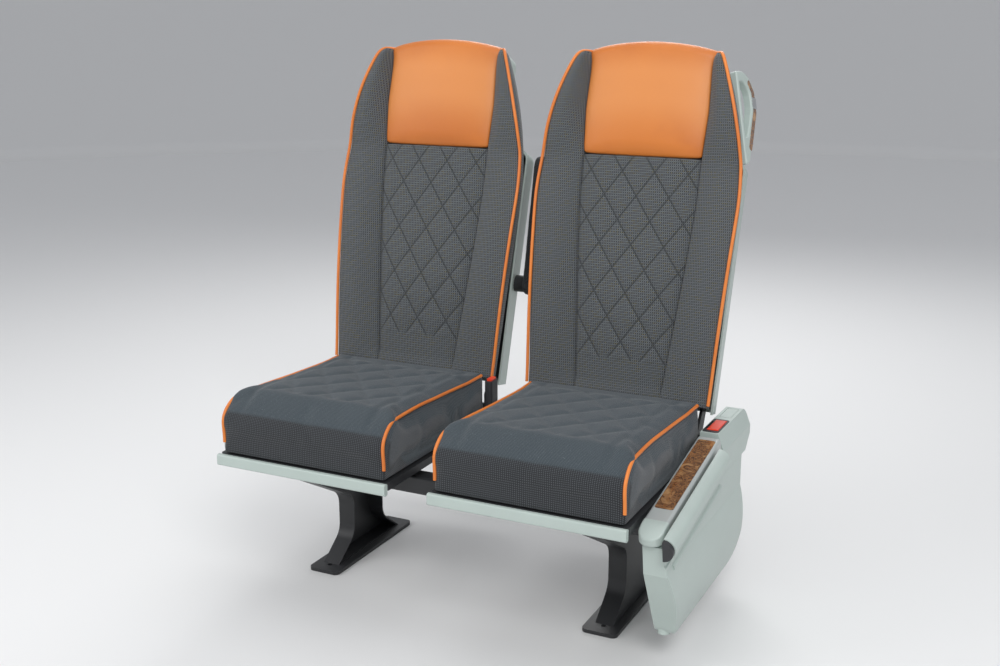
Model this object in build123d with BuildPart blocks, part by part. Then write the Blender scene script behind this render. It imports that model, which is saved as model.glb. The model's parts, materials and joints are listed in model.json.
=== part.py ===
"""Twin coach passenger seat: two reclining seats on one floor frame, in millimetres.

+Z is up, the seats face -Y, and the aisle is on the +X side. The origin is on the floor,
at the centre of the four floor bolts.
"""

import os
from math import cos, radians, sin, tan

from build123d import *

os.makedirs("parts", exist_ok=True)

# Overall sizes
seat_spacing = 500.0
cushion_top = 430.0
junction_y = 110.0  # where the back's front face meets the cushion's top
back_lean = 13.0  # degrees from upright, at rest
running_gap = 5.0  # between pieces that move past each other
seat_gap = 0.3  # a soft piece or a stop beside what carries it
pin_clearance = 0.05  # radial, at every pin and guide

# Each seat: name, centre line, side that faces away from the other seat
SEATS = (
    ("aisle", seat_spacing / 2, 1),
    ("window", -seat_spacing / 2, -1),
)

# Floor frame
tube_size = 40.0
tube_wall = 3.0
tube_top = 290.0
front_tube_y = -190.0
rear_tube_y = 60.0
tube_corner = 6.0
leg_outset = 80.0  # outside each seat's centre line
leg_width = 40.0
leg_wall = 3.0
leg_waist_half = 62.0  # the narrow middle of the leg, seen from the side
leg_waist_top = 150.0
leg_waist_foot = 60.0
leg_flare_half = 130.0
leg_beam_depth = 18.0
leg_inner_radius = 40.0
foot_width = 76.0
foot_length = 330.0
foot_thickness = 8.0
bolt_spacing = 270.0
bolt_hole_radius = 5.5

# Seat pans, their mounts and the sideways slide
pan_half_width = 203.0
tube_overhang = pan_half_width + 2  # past each seat's centre line
pan_sheet = 3.0
pan_front = -342.0
pan_rear = 100.0
pan_top = 322.0
pan_flange = 16.0
rail_width = 16.0
rail_height = 10.0
rail_clearance = 0.5
block_width = 26.0
block_length = 70.0
block_offset = pan_half_width - 88
block_lift = 2.0  # the sliding blocks ride on the rails, clear of the tubes
slide_travel = 50.0

# Cushions
cushion_half_width = pan_half_width - 3
cushion_front = -352.0
cushion_front_rise = 16.0
cushion_nose_radius = 46.0
trim_height = 24.0
trim_depth = 12.0

# Backs: half widths of the outline, and heights above the cushion
back_half_foot = pan_half_width + 3
back_half_belly = back_half_foot + 21
back_half_crown = 158.0
back_foot_height = -14.0
back_belly_height = 405.0
back_crown_height = 743.0
back_corner_height = back_crown_height - 20
back_corner_radius = 30.0
side_depth = 48.0  # fabric side, from the front edge to the shell
side_inset = 14.0
bolster_depth = 25.0
swell_room = 40.0
panel_half_width = 133.0
panel_half_foot = 96.0
panel_straight_height = 400.0
headrest_foot_height = 501.0
headrest_thickness = 20.0
panel_thickness = 16.0
# Each forward swell of the bolsters: heights of its low end, middle and top, and its reach
SWELLS = (
    (20.0, 250.0, headrest_foot_height - 1, 12.0),
    (
        headrest_foot_height - 11,
        (headrest_foot_height + back_crown_height) / 2 - 17,
        back_crown_height - 4,
        20.0,
    ),
)

# Back shells
shell_wall = 4.0
shell_depth = 60.0
shell_half_foot = back_half_foot - 2
shell_half_shoulder = back_half_belly - 8
shell_half_neck = back_half_crown - 8
shell_foot_height = -30.0
shell_shoulder_height = headrest_foot_height + 3
shell_top_height = back_crown_height - 19
shell_corner_radius = 20.0

# Recline hinge
pivot_y = 150.0
pivot_z = 335.0
pivot_radius = 8.0
plate_inner = pan_half_width + 9
plate_thickness = 5.0
plate_radius = 15.0
arm_inner = pan_half_width - 31
arm_thickness = 6.0
arm_reach = 220.0

# Aisle console and side cover, measured outward from the aisle seat's centre line
console_inner = plate_inner + plate_thickness
console_lip = cushion_half_width + 9.5
console_lip_height = 16.0
console_outer = console_inner + 44
console_top = 385.0
console_bottom = 300.0
console_rear = 250.0
console_front = 50.0
console_wall = 5.0
console_notch = 30.0
console_flank_width = 14.0  # the outer side slopes down from the plateau
console_flank_drop = 36.0
console_corner = 14.0
groove_width = 1.5
groove_depth = 1.0
groove_y = 196.0
groove_length = 66.0
groove_across = 26.0
buckle_y = 100.0
buckle_length = 88.0
buckle_width = 34.0
buckle_centre = console_inner + 11
buckle_depth = 26.0
button_margin = 5.0
button_end_margin = 11.0
button_well = 8.0
slot_margin = 3.6
slot_width = 3.0
slot_length = 46.0
slot_depth = 14.0

# Aisle armrest: its top slopes down to the front
arm_rear_y = console_front - 11
arm_slope = 10.6
arm_rear_top = console_top - 6
arm_length = 322.0
arm_body_height = 30.0
arm_centre = console_inner + 15
arm_width = 48.0
arm_edge = 6.0
nose_length = 46.0
nose_corner = 21.0
nose_droop = 15.0
nose_edge = 4.0
inlay_width = 36.0
inlay_length = 270.0
inlay_depth = 3.0
inlay_rise = 0.8
inlay_rear_margin = 12.0
post_radius = 8.0
post_clear = 10.0  # the posts end this far above the side cover's lower edge
POSTS_Y = (-30.0, -210.0)
guide_wall = 4.0

# Side cover below the armrest
cover_bottom = 62.0
cover_wall = 4.0
cover_front_y = -306.0
cover_rear_y = 190.0
cover_low_radius = 36.0
cover_bulge_top = 232.0
cover_bulge_middle = 170.0
cover_bulge_reach = console_outer + 9
cover_foot_reach = console_outer - 11
cover_line_drop = 42.0  # a groove and a rib run along the cover below the rail
cover_line_radius = 4.0
cover_rib_drop = 66.0
cover_rib_radius = 7.0
cover_rib_length = 300.0

# Bullet-shaped rail cover outboard of the side cover
bullet_radius = 22.0
bullet_length = 340.0
bullet_rear_y = 20.0
bullet_rear_z = console_top - 40
bullet_tail = 60.0
bullet_taper = 14.0
ring_length = 10.0

# Grab handle: its rim lies along the back's side. Corners of the loop are in its own plane,
# each with its radius
handle_top_half = back_half_crown + 15
handle_top_height = back_crown_height - 45
handle_foot_half = shell_half_shoulder
handle_foot_height = shell_shoulder_height + 9
handle_splay = 12.0
handle_thickness = 17.0
handle_edge = 4.0
handle_behind = side_depth + 2
HANDLE_OUTLINE = (
    ((-3, -16), 3),
    ((13, -12), 9),
    ((78, 112), 80),
    ((74, 164), 50),
    ((38, 192), 45),
    ((-3, 185), 5),
)
HANDLE_OPENING = (
    ((7, 44), 4),
    ((18, 46), 6),
    ((53, 112), 50),
    ((49, 151), 28),
    ((26, 168), 22),
    ((7, 164), 5),
)
HANDLE_STRIP = ((25, 24), (65, 108), (64, 150), (51, 167))
handle_boss_place = (9.0, 176.0)  # a round boss carries the loop's top inside the shell
handle_boss_radius = 7.0
handle_boss_length = 45.0
strip_radius = 7.0
strip_depth = 1.5
plate_place = (65.0, 126.0)

# Window seat's buckle on its stalk, and the cap over the outer recliner plate
stalk_y = 60.0
stalk_z = 360.0
stalk_width = 24.0
stalk_length = 90.0
stalk_thickness = 3.0
stalk_buckle_low = 368.0
stalk_buckle_length = 62.0
stalk_buckle_width = 18.0
stalk_buckle_depth = 36.0
SIDE_CAP = ((-300, 306), (180, 306), (180, 350), (120, 392), (-300, 360))
side_cap_corner = 14.0
side_cap_thickness = 8.0

# Middle armrest
middle_width = 36.0
middle_depth = 52.0
middle_length = 320.0
middle_pivot_behind = side_depth + 30
middle_pivot_height = 205.0
middle_pin_radius = 6.0

# Fold-down tables
table_margin = 39.0  # from the shell's side to the table's
table_half_width = shell_half_foot - table_margin
table_height = 230.0
table_thickness = 14.0
table_pivot_height = 300.0
table_gap = 8.0
table_corner = 22.0
table_foot = 7.0  # the table reaches this far below its pins
cup_radius = 37.0
cup_depth = 2.5
latch_radius = 9.0
latch_reach = 42.0
table_lug_half = table_half_width + 13
table_pin_radius = 4.0

# Magazine pockets
pocket_half_width = 150.0
pocket_low = 40.0
pocket_high = 215.0
pocket_stand_off = 34.0
pocket_wall = 3.0

# Footrests
foot_pivot_y = 104.0
foot_pivot_z = 262.0
foot_arm_length = 215.0
foot_arm_angle = 12.0  # below level, at rest
foot_half_width = pan_half_width - 38
foot_bar_radius = 9.0
foot_pad_radius = 20.0
foot_lug_radius = 13.0
foot_pin_radius = 6.0
foot_sheet = 6.0

lean = radians(back_lean)


def back_plane(x, behind=0.0):
    """Plane of a back: local X across, local Y up along the back, seen from the front."""
    front = Plane(
        origin=(x, junction_y, cushion_top),
        x_dir=(1, 0, 0),
        z_dir=(0, -cos(lean), sin(lean)),
    )
    return front.offset(-behind)


def back_point(behind, height):
    """(y, z) of a point at a depth behind a back's front face and a height along it."""
    y = junction_y + behind * cos(lean) + height * sin(lean)
    z = cushion_top - behind * sin(lean) + height * cos(lean)
    return (y, z)


def back_outline(x, behind, inset):
    """Front outline of a back: straight flanks, then an arc to the crown."""
    foot = (back_half_foot - inset, back_foot_height)
    belly = (back_half_belly - inset, back_belly_height)
    corner = (back_half_crown - inset, back_corner_height - inset)
    crown = (0, back_crown_height - inset)
    with BuildSketch(back_plane(x, behind)) as section:
        with BuildLine():
            Line((-foot[0], foot[1]), foot)
            flank = Line(foot, belly)
            side = TangentArc(belly, corner, tangent=(0, 1))
            ThreePointArc(side @ 1, crown, (-corner[0], corner[1]))
            mirror(flank, about=Plane.YZ)
            mirror(side, about=Plane.YZ)
        make_face()
        corners = section.vertices().filter_by(lambda v: v.Y > corner[1] - 1)
        fillet(corners, radius=back_corner_radius)
    return section.sketch


def shell_outline(x, behind, inset):
    """Front outline of a shell: wide body, shoulders, and a neck for the top."""
    shoulder = shell_shoulder_height - inset
    neck = shell_half_neck - inset
    top = shell_top_height - inset
    with BuildSketch(back_plane(x, behind)) as section:
        with BuildLine():
            outline = Polyline(
                (0, shell_foot_height),
                (shell_half_foot - inset, shell_foot_height),
                (shell_half_shoulder - inset, shoulder),
                (neck, shoulder + 8),
                (neck, top),
                (0, top),
            )
            mirror(outline, about=Plane.YZ)
        make_face()
        corners = section.vertices().filter_by(lambda v: v.Y > 100 and abs(v.X) > 10)
        fillet(corners, radius=shell_corner_radius)
    return section.sketch


# Shell sections from the front edge to the rear face: share of the depth, inset
SHELL_SECTIONS = ((0.0, 0.0), (0.8, 6.0), (1.0, 19.0))


def shell_block(x, wall):
    """Solid in the shape of the shell, made smaller by a wall at the sides and the rear."""
    sections = []
    for share, inset in SHELL_SECTIONS:
        behind = side_depth + share * (shell_depth - wall)
        sections.append(shell_outline(x, behind, inset + wall))
    return loft(sections, ruled=True, mode=Mode.PRIVATE)


# Floor frame

for side, name in ((1, "leg_aisle"), (-1, "leg_window")):
    leg_x = side * (seat_spacing / 2 + leg_outset)
    beam_front = front_tube_y - tube_size / 2
    beam_rear = rear_tube_y + tube_size / 2
    beam_bottom = tube_top - tube_size
    with BuildPart() as leg:
        with BuildSketch(Plane.YZ.offset(leg_x - leg_width / 2)):
            with BuildLine():
                Polyline(
                    (beam_front, beam_bottom),
                    (beam_rear, beam_bottom),
                    (beam_rear, beam_bottom - leg_beam_depth),
                    (leg_waist_half, leg_waist_top),
                    (leg_waist_half, leg_waist_foot),
                    (leg_flare_half, foot_thickness),
                    (-leg_flare_half, foot_thickness),
                    (-leg_waist_half, leg_waist_foot),
                    (-leg_waist_half, leg_waist_top),
                    (beam_front, beam_bottom - leg_beam_depth),
                    close=True,
                )
            outline = make_face()
            waist = outline.vertices().filter_by(lambda v: leg_waist_foot - 1 < v.Y < leg_waist_top + 1)
            fillet(waist, radius=leg_inner_radius)
        extrude(amount=leg_width)
        inner_plane = Plane.YZ.offset(leg_x - side * leg_width / 2)
        with BuildSketch(inner_plane):
            hollow = leg.faces().filter_by(Axis.X).sort_by(Axis.X)[0]
            add(project(hollow, workplane=inner_plane, mode=Mode.PRIVATE))
            offset(amount=-leg_wall, kind=Kind.INTERSECTION, mode=Mode.REPLACE)
        extrude(amount=side * (leg_width - leg_wall), mode=Mode.SUBTRACT)
        with BuildSketch(Plane.XY):
            with Locations((leg_x, 0)):
                RectangleRounded(foot_width, foot_length, 12)
        extrude(amount=foot_thickness)
        with BuildSketch(Plane.XY):
            with Locations((leg_x, bolt_spacing / 2), (leg_x, -bolt_spacing / 2)):
                Circle(bolt_hole_radius)
        extrude(amount=foot_thickness, mode=Mode.SUBTRACT)
    leg.part.label = name
    export_step(leg.part, f"parts/{name}.step")

# Each cross tube: name, y of its centre line
for name, tube_y in (("front_tube", front_tube_y), ("rear_tube", rear_tube_y)):
    with BuildPart() as tube:
        with BuildSketch(Plane.YZ):
            with Locations((tube_y, tube_top - tube_size / 2)):
                RectangleRounded(tube_size, tube_size, tube_corner)
                RectangleRounded(
                    tube_size - 2 * tube_wall,
                    tube_size - 2 * tube_wall,
                    tube_corner - tube_wall,
                    mode=Mode.SUBTRACT,
                )
        extrude(amount=seat_spacing / 2 + tube_overhang, both=True)
    tube.part.label = name
    export_step(tube.part, f"parts/{name}.step")

rail_start = seat_spacing / 2 - block_offset - block_length / 2
rail_length = 2 * block_offset + block_length + slide_travel
with BuildPart() as slide_rails:
    with BuildSketch(Plane.YZ.offset(rail_start)):
        with Locations(
            (front_tube_y, tube_top + rail_height / 2),
            (rear_tube_y, tube_top + rail_height / 2),
        ):
            Rectangle(rail_width, rail_height)
    extrude(amount=rail_length)
slide_rails.part.label = "slide_rails"
export_step(slide_rails.part, "parts/slide_rails.step")

for seat, seat_x, out in SEATS:
    block_bottom = tube_top if seat == "window" else tube_top + block_lift
    block_top = pan_top - pan_sheet
    with BuildPart() as blocks:
        for tube_y in (front_tube_y, rear_tube_y):
            for shift in (-block_offset, block_offset):
                with BuildSketch(Plane.XY.offset(block_bottom)):
                    with Locations((seat_x + shift, tube_y)):
                        Rectangle(block_length, block_width)
                extrude(amount=block_top - block_bottom)
        if seat == "aisle":
            for tube_y in (front_tube_y, rear_tube_y):
                with BuildSketch(Plane.XY.offset(block_bottom)):
                    with Locations((seat_x, tube_y)):
                        Rectangle(3 * block_offset, rail_width + 2 * rail_clearance)
                extrude(
                    amount=tube_top + rail_height + rail_clearance - block_bottom,
                    mode=Mode.SUBTRACT,
                )
    name = "slide_blocks" if seat == "aisle" else "pan_mounts_window"
    blocks.part.label = name
    export_step(blocks.part, f"parts/{name}.step")

    with BuildPart() as pan:
        with BuildSketch(Plane.XY.offset(pan_top)):
            with Locations((seat_x, (pan_front + pan_rear) / 2)):
                RectangleRounded(2 * pan_half_width, pan_rear - pan_front, 8)
        extrude(amount=-pan_flange)
        with BuildSketch(Plane.XY.offset(pan_top - pan_sheet)):
            with Locations((seat_x, (pan_front + pan_rear) / 2)):
                RectangleRounded(
                    2 * (pan_half_width - pan_sheet),
                    pan_rear - pan_front - 2 * pan_sheet,
                    5,
                )
        extrude(amount=-pan_flange, mode=Mode.SUBTRACT)
    pan.part.label = f"pan_{seat}"
    export_step(pan.part, f"parts/pan_{seat}.step")

    with BuildPart() as cushion:
        with BuildSketch(Plane.YZ.offset(seat_x - cushion_half_width)):
            rear_face = junction_y - running_gap - 4
            front_top = cushion_top + cushion_front_rise
            with BuildLine():
                Polyline(
                    (rear_face, pan_top + seat_gap),
                    (rear_face, cushion_top - 1),
                    (cushion_front + cushion_nose_radius, front_top),
                    (cushion_front, front_top - cushion_nose_radius),
                    (cushion_front + 8, pan_top + seat_gap),
                    close=True,
                )
            profile = make_face()
            nose = profile.vertices().sort_by(Axis.Y)[-1]
            fillet(nose, radius=30)
        extrude(amount=2 * cushion_half_width)
        long_edges = cushion.edges().filter_by(lambda e: e.center().Z > cushion_top - 30)
        sides = long_edges.filter_by(lambda e: abs(e.center().X - seat_x) > cushion_half_width - 1)
        fillet(sides, radius=10)
    cushion.part.label = f"cushion_{seat}"
    export_step(cushion.part, f"parts/cushion_{seat}.step")

    with BuildPart() as trim:
        with BuildSketch(Plane.YZ.offset(seat_x - pan_half_width)):
            with Locations((pan_front - trim_depth / 2, pan_top - trim_height / 2)):
                RectangleRounded(trim_depth, trim_height, 4)
        extrude(amount=2 * pan_half_width)
    trim.part.label = f"front_trim_{seat}"
    export_step(trim.part, f"parts/front_trim_{seat}.step")

    with BuildPart() as plates:
        for side in (-1, 1):
            start = seat_x + side * (plate_inner + plate_thickness / 2)
            with BuildSketch(Plane.YZ.offset(start)):
                with BuildLine():
                    Polyline(
                        (pan_rear - 48, pan_top - pan_flange),
                        (pivot_y + plate_radius, pan_top - pan_flange),
                        (pivot_y + plate_radius, pivot_z),
                        (pivot_y, pivot_z + plate_radius),
                        (pan_rear - 48, pivot_z + plate_radius),
                        close=True,
                    )
                make_face()
                with Locations((pivot_y, pivot_z)):
                    Circle(plate_radius)
                    Circle(pivot_radius + pin_clearance, mode=Mode.SUBTRACT)
            extrude(amount=plate_thickness / 2, both=True)
        for side in (-1, 1):
            inner_face = seat_x + side * pan_half_width
            with BuildSketch(Plane.YZ.offset(inner_face)):
                with Locations((pan_rear - 26, pan_top - pan_flange / 2)):
                    Rectangle(40, pan_flange - 4)
            extrude(amount=side * (plate_inner - pan_half_width))
    plates.part.label = f"recliner_plates_{seat}"
    export_step(plates.part, f"parts/recliner_plates_{seat}.step")

    # Back shell, open at the front, with the pad nested in it
    outer_shell = shell_block(seat_x, 0)
    inner_shell = shell_block(seat_x, shell_wall)
    with BuildPart() as shell:
        add(outer_shell)
        add(inner_shell, mode=Mode.SUBTRACT)
    shell.part.label = f"back_shell_{seat}"
    export_step(shell.part, f"parts/back_shell_{seat}.step")

    with BuildPart() as pad:
        loft([back_outline(seat_x, 0, 0), back_outline(seat_x, side_depth - seat_gap, side_inset)])
        with BuildSketch(Plane.YZ.offset(seat_x)):
            for low, middle, high, reach in SWELLS:
                with BuildLine():
                    ThreePointArc(back_point(0, low), back_point(-reach, middle), back_point(0, high))
                    Line(back_point(0, high), back_point(0, low))
                make_face()
        swells = extrude(amount=back_half_belly, both=True, mode=Mode.PRIVATE)
        room = extrude(back_outline(seat_x, 0, 0), amount=swell_room, mode=Mode.PRIVATE)
        add(swells & room)
        with BuildSketch(back_plane(seat_x, -swell_room)):
            with BuildLine():
                Polyline(
                    (-panel_half_foot, back_foot_height - 5),
                    (panel_half_foot, back_foot_height - 5),
                    (panel_half_width, panel_straight_height),
                    (panel_half_width, back_crown_height + 5),
                    (-panel_half_width, back_crown_height + 5),
                    (-panel_half_width, panel_straight_height),
                    close=True,
                )
            make_face()
        extrude(amount=-bolster_depth - swell_room, mode=Mode.SUBTRACT)
    pad.part.label = f"back_pad_{seat}"
    export_step(pad.part, f"parts/back_pad_{seat}.step")

    with BuildPart() as panel:
        with BuildSketch(back_plane(seat_x, bolster_depth - seat_gap)):
            with BuildLine():
                Polyline(
                    (-panel_half_foot + seat_gap, back_foot_height),
                    (panel_half_foot - seat_gap, back_foot_height),
                    (panel_half_width - seat_gap, panel_straight_height),
                    (panel_half_width - seat_gap, headrest_foot_height - seat_gap),
                    (-panel_half_width + seat_gap, headrest_foot_height - seat_gap),
                    (-panel_half_width + seat_gap, panel_straight_height),
                    close=True,
                )
            make_face()
        extrude(amount=panel_thickness)
    panel.part.label = f"back_panel_{seat}"
    export_step(panel.part, f"parts/back_panel_{seat}.step")

    with BuildPart() as headrest:
        with BuildSketch(back_plane(seat_x, bolster_depth - seat_gap)):
            half = panel_half_width - seat_gap
            headrest_corner = back_corner_height - 2
            with BuildLine():
                Line((-half, headrest_foot_height), (half, headrest_foot_height))
                Line((half, headrest_foot_height), (half, headrest_corner))
                ThreePointArc((half, headrest_corner), (0, back_crown_height - 8), (-half, headrest_corner))
                Line((-half, headrest_corner), (-half, headrest_foot_height))
            make_face()
        extrude(amount=headrest_thickness)
        top_edge = headrest.edges().sort_by(Axis.Z)[-1]
        fillet(top_edge, radius=12)
    headrest.part.label = f"headrest_{seat}"
    export_step(headrest.part, f"parts/headrest_{seat}.step")

    # Hinge arms inside the shell, with the pivot rod
    arm_low = back_point(side_depth + shell_depth - shell_wall - 9, 24)
    arm_high = back_point(side_depth + shell_depth - shell_wall - 9, arm_reach)
    with BuildPart() as hinge:
        for side in (-1, 1):
            with BuildSketch(Plane.YZ.offset(seat_x + side * (arm_inner + arm_thickness / 2))):
                with Locations((pivot_y, pivot_z)):
                    Circle(18)
                with Locations(arm_low):
                    Circle(9)
                make_hull()
            extrude(amount=arm_thickness / 2, both=True)
            with BuildSketch(Plane.YZ.offset(seat_x + side * (arm_inner + arm_thickness / 2))):
                with Locations(arm_low, arm_high):
                    Circle(9)
                make_hull()
            extrude(amount=arm_thickness / 2, both=True)
        with BuildSketch(Plane.YZ.offset(seat_x)):
            with Locations((pivot_y, pivot_z)):
                Circle(pivot_radius)
        extrude(amount=plate_inner + plate_thickness - 1, both=True)
    hinge.part.label = f"back_hinge_{seat}"
    export_step(hinge.part, f"parts/back_hinge_{seat}.step")

    # Magazine pocket: a curved front wall, open at the top
    rear_depth = side_depth + shell_depth
    with BuildPart() as pocket:
        with BuildSketch(back_plane(seat_x, rear_depth)):
            with Locations((0, (pocket_low + pocket_high) / 2)):
                RectangleRounded(2 * pocket_half_width, pocket_high - pocket_low, 20)
        extrude(amount=-pocket_stand_off)
        with BuildSketch(back_plane(seat_x, rear_depth)):
            with Locations((0, (pocket_low + pocket_high) / 2 + 40)):
                RectangleRounded(
                    2 * (pocket_half_width - pocket_wall),
                    pocket_high - pocket_low + 80 - 2 * pocket_wall,
                    16,
                )
        extrude(amount=-(pocket_stand_off - pocket_wall), mode=Mode.SUBTRACT)
    pocket.part.label = f"pocket_{seat}"
    export_step(pocket.part, f"parts/pocket_{seat}.step")

    # Table lugs on the shell, and the table between them
    table_behind = rear_depth + table_gap + table_thickness / 2
    with BuildPart() as lugs:
        for side in (-1, 1):
            with BuildSketch(Plane.YZ.offset(seat_x + side * table_lug_half)):
                with Locations(back_point(table_behind, table_pivot_height)):
                    Circle(10)
                with Locations(
                    back_point(rear_depth + 3, table_pivot_height - 12),
                    back_point(rear_depth + 3, table_pivot_height + 12),
                ):
                    Circle(3)
                make_hull()
            extrude(amount=4, both=True)
        with BuildSketch(Plane.YZ.offset(seat_x)):
            with Locations(back_point(table_behind, table_pivot_height)):
                Circle(table_pin_radius)
        extrude(amount=table_lug_half - 4, both=True)
        with BuildSketch(Plane.YZ.offset(seat_x)):
            with Locations(back_point(table_behind, table_pivot_height)):
                Circle(table_pin_radius)
        extrude(amount=table_half_width - 14, both=True, mode=Mode.SUBTRACT)
    lugs.part.label = f"table_lugs_{seat}"
    export_step(lugs.part, f"parts/table_lugs_{seat}.step")

    with BuildPart() as table:
        with BuildSketch(back_plane(seat_x, table_behind)):
            with Locations((0, table_pivot_height + table_height / 2 - table_foot)):
                RectangleRounded(2 * table_half_width, table_height, table_corner)
        extrude(amount=table_thickness / 2, both=True)
        with BuildSketch(back_plane(seat_x, table_behind - table_thickness / 2)):
            with Locations((table_half_width / 2, table_pivot_height + table_height / 2)):
                Circle(cup_radius)
        extrude(amount=-cup_depth, mode=Mode.SUBTRACT)
        with BuildSketch(Plane.YZ.offset(seat_x)):
            with Locations(back_point(table_behind, table_pivot_height)):
                Circle(table_pin_radius + pin_clearance)
        extrude(amount=seat_spacing / 2, both=True, mode=Mode.SUBTRACT)
    table.part.label = f"table_{seat}"
    export_step(table.part, f"parts/table_{seat}.step")

    with BuildPart() as latch:
        with BuildSketch(back_plane(seat_x, rear_depth)):
            with Locations((0, table_pivot_height + table_height + latch_radius)):
                Circle(latch_radius - 2)
        extrude(amount=-(table_gap + table_thickness))
        with BuildSketch(back_plane(seat_x, rear_depth + table_gap + table_thickness)):
            with Locations((0, table_pivot_height + table_height + latch_radius)):
                RectangleRounded(latch_reach, 2 * latch_radius, latch_radius - 1)
        extrude(amount=-6)
    latch.part.label = f"table_latch_{seat}"
    export_step(latch.part, f"parts/table_latch_{seat}.step")

    # Footrest: lugs on the rear tube, arms with a pin, and a cross bar with its pad
    foot_angle = radians(foot_arm_angle)
    bar_y = foot_pivot_y + foot_arm_length * cos(foot_angle)
    bar_z = foot_pivot_z - foot_arm_length * sin(foot_angle)
    with BuildPart() as foot_lugs:
        for side in (-1, 1):
            with BuildSketch(Plane.YZ.offset(seat_x + side * (foot_half_width + 12))):
                with Locations((foot_pivot_y, foot_pivot_z)):
                    Circle(foot_lug_radius)
                with Locations(
                    (rear_tube_y + tube_size / 2 + 4, tube_top - 16),
                    (rear_tube_y + tube_size / 2 + 4, tube_top - tube_size + 8),
                ):
                    Circle(4)
                make_hull()
            extrude(amount=3, both=True)
            with BuildSketch(Plane.YZ.offset(seat_x + side * (foot_half_width - 1.5 * foot_sheet))):
                with Locations((foot_pivot_y, foot_pivot_z)):
                    Circle(foot_pin_radius)
            extrude(amount=side * 3 * foot_sheet)
    foot_lugs.part.label = f"footrest_lugs_{seat}"
    export_step(foot_lugs.part, f"parts/footrest_lugs_{seat}.step")

    with BuildPart() as footrest:
        for side in (-1, 1):
            with BuildSketch(Plane.YZ.offset(seat_x + side * (foot_half_width - 3))):
                with Locations((foot_pivot_y, foot_pivot_z)):
                    Circle(foot_lug_radius)
                with Locations((bar_y, bar_z)):
                    Circle(foot_bar_radius + 2)
                make_hull()
                with Locations((foot_pivot_y, foot_pivot_z)):
                    Circle(foot_pin_radius + pin_clearance, mode=Mode.SUBTRACT)
            extrude(amount=3, both=True)
        with BuildSketch(Plane.YZ.offset(seat_x)):
            with Locations((bar_y, bar_z)):
                Circle(foot_bar_radius)
        extrude(amount=foot_half_width - 6, both=True)
    footrest.part.label = f"footrest_{seat}"
    export_step(footrest.part, f"parts/footrest_{seat}.step")

    with BuildPart() as foot_pad:
        with BuildSketch(Plane.YZ.offset(seat_x)):
            with Locations((bar_y, bar_z)):
                Circle(foot_pad_radius)
                Circle(foot_bar_radius, mode=Mode.SUBTRACT)
        extrude(amount=foot_half_width - 12, both=True)
    foot_pad.part.label = f"footrest_pad_{seat}"
    export_step(foot_pad.part, f"parts/footrest_pad_{seat}.step")

    if seat == "aisle":
        aisle_shell = outer_shell
        aisle_pad = pad.part
    else:
        window_shell = outer_shell

# Grab handle on the aisle back: a D-shaped loop that splays out behind the back's side

aisle_x = seat_spacing / 2
top_y, top_z = back_point(handle_behind, handle_top_height)
foot_y, foot_z = back_point(handle_behind, handle_foot_height)
up_along = Vector(
    handle_top_half - handle_foot_half,
    top_y - foot_y,
    top_z - foot_z,
).normalized()
rearward = Vector(
    sin(radians(handle_splay)),
    cos(radians(handle_splay)) * cos(lean),
    -cos(radians(handle_splay)) * sin(lean),
)
outward = rearward.cross(up_along).normalized()
handle_plane = Plane(
    origin=(aisle_x + handle_foot_half - handle_thickness / 2, foot_y, foot_z),
    x_dir=rearward,
    z_dir=outward,
)
with BuildPart() as handle_strip:
    for low, high in zip(HANDLE_STRIP, HANDLE_STRIP[1:]):
        with BuildSketch(handle_plane.offset(handle_thickness / 2 - strip_depth)):
            with Locations(low, high):
                Circle(strip_radius)
            make_hull()
        extrude(amount=strip_depth)
handle_strip.part.label = "handle_strip"
export_step(handle_strip.part, "parts/handle_strip.step")

with BuildPart() as handle_plate:
    with BuildSketch(handle_plane.offset(handle_thickness / 2)):
        with Locations(plate_place):
            RectangleRounded(18, 24, 2)
    extrude(amount=1)
handle_plate.part.label = "handle_plate"
export_step(handle_plate.part, "parts/handle_plate.step")

with BuildPart() as grab_handle:
    with BuildSketch(handle_plane) as ring:
        for corners, mode in ((HANDLE_OUTLINE, Mode.ADD), (HANDLE_OPENING, Mode.SUBTRACT)):
            with BuildLine():
                Polyline(*[place for place, _ in corners], close=True)
            make_face(mode=mode)
            for place, radius in corners:
                fillet(ring.vertices().sort_by_distance(place)[0], radius=radius)
    extrude(amount=handle_thickness / 2, both=True)
    outer_face = grab_handle.faces().sort_by(lambda f: f.center().dot(outward))[-1]
    fillet(outer_face.edges(), radius=handle_edge)
    with BuildSketch(handle_plane):
        with Locations(handle_boss_place):
            Circle(handle_boss_radius)
    extrude(amount=-handle_boss_length)
    add(aisle_shell, mode=Mode.SUBTRACT)
    add(aisle_pad, mode=Mode.SUBTRACT)
    add(handle_strip.part, mode=Mode.SUBTRACT)
    loop = grab_handle.solids().sort_by(lambda piece: piece.volume)[-1]
    add(loop, mode=Mode.REPLACE)
grab_handle.part.label = "grab_handle"
export_step(grab_handle.part, "parts/grab_handle.step")

# Console with its buckle

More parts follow.
